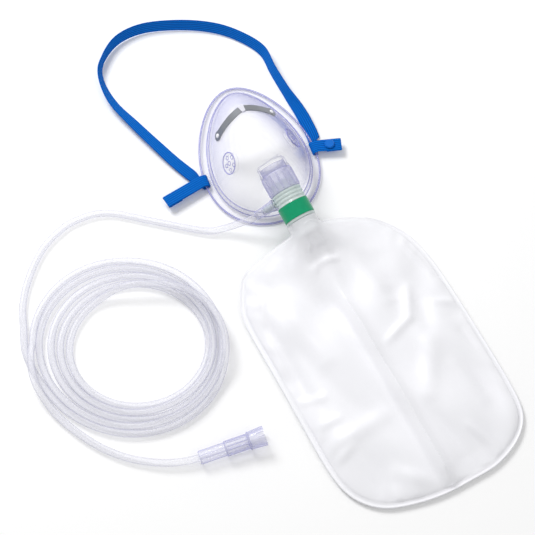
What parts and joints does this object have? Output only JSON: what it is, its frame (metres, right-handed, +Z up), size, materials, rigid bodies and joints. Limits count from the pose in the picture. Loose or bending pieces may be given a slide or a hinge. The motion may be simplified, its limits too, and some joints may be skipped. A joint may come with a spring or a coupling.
{
  "type": "oxygen face mask with reservoir bag",
  "caption": "Clear oxygen face mask with reservoir bag, blue elastic head strap, nose clip and coiled supply tube.",
  "frame": {"origin": "on the ground, under the middle of the mask, strap and bag's box, without the supply tube", "axes": "+Z up from the ground that the set lies on, +Y towards the strap, +X to the bag's side"},
  "size_m": [0.3715, 0.4089, 0.0552],
  "materials": {
    "clear_vinyl": "clear, glossy",
    "violet_plastic": "clear with a violet tint",
    "milky_plastic": "milky, half clear",
    "silicone": "matte",
    "green_band": "satin",
    "bag_film": "clear film",
    "aluminium": "brushed",
    "elastic": "ribbed elastic",
    "stud_plastic": "satin",
    "tube_vinyl": "clear, glossy"
  },
  "bodies": {
    "root": {"mask_shell": "clear_vinyl", "port_collar": "violet_plastic", "bag_connector": "milky_plastic", "valve_flap": "silicone", "label_band": "green_band", "reservoir_bag": "bag_film", "nose_clip": "aluminium", "nose_clip_rivet_left": "clear_vinyl", "nose_clip_rivet_right": "clear_vinyl", "head_strap": "elastic", "strap_stud": "stud_plastic", "inlet_sleeve": "violet_plastic", "tube_lead": "tube_vinyl", "tube_coil": "tube_vinyl", "tube_tail": "tube_vinyl", "supply_connector": "violet_plastic"}
  },
  "joints": []
}
